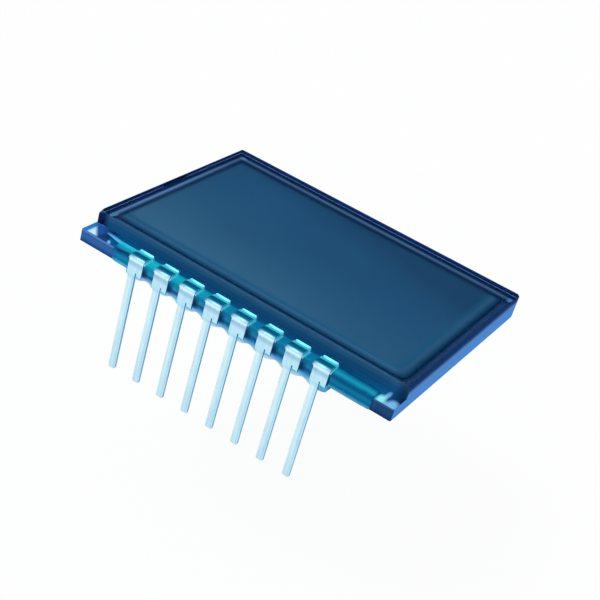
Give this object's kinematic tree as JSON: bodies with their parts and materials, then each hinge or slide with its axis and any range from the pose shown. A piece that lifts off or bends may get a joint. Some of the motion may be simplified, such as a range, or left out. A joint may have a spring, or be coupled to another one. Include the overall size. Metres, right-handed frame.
{
  "type": "segment lcd display",
  "caption": "Flat glass segment display: two bonded plates with a film on each face, and one row of clip pins set in a resin bead along the ledge of the rear plate.",
  "frame": {"origin": "on the outer face of the rear film, at the middle of the rear plate's outline", "axes": "+X along the pin row and the long side, +Z out of the viewing face, the pins at -Y and pointing to -Z"},
  "size_m": [0.0303, 0.0232, 0.0118],
  "materials": {
    "plate_glass": "clear, scribed edges",
    "front_film": "glossy blue-grey polarizing film",
    "rear_film": "satin dark polarizing film",
    "seal_resin": "matte",
    "plug_resin": "glossy cured resin",
    "liquid_crystal": "clear layer",
    "conductor": "matte filled resin",
    "clear_coat": "clear conducting coat",
    "bead_resin": "glossy tinted resin",
    "pin_metal": "tinned, satin"
  },
  "bodies": {
    "root": {"rear_glass": "plate_glass", "front_glass": "plate_glass", "front_polarizer": "front_film", "rear_polarizer": "rear_film", "seal_ring": "seal_resin", "fill_port_plug": "plug_resin", "liquid_crystal": "liquid_crystal", "transfer_dot": "conductor", "segment_electrodes": "clear_coat", "common_electrode": "clear_coat", "pin_bead": "bead_resin", "pin_1": "pin_metal", "pin_2": "pin_metal", "pin_3": "pin_metal", "pin_4": "pin_metal", "pin_5": "pin_metal", "pin_6": "pin_metal", "pin_7": "pin_metal", "pin_8": "pin_metal"}
  },
  "joints": []
}
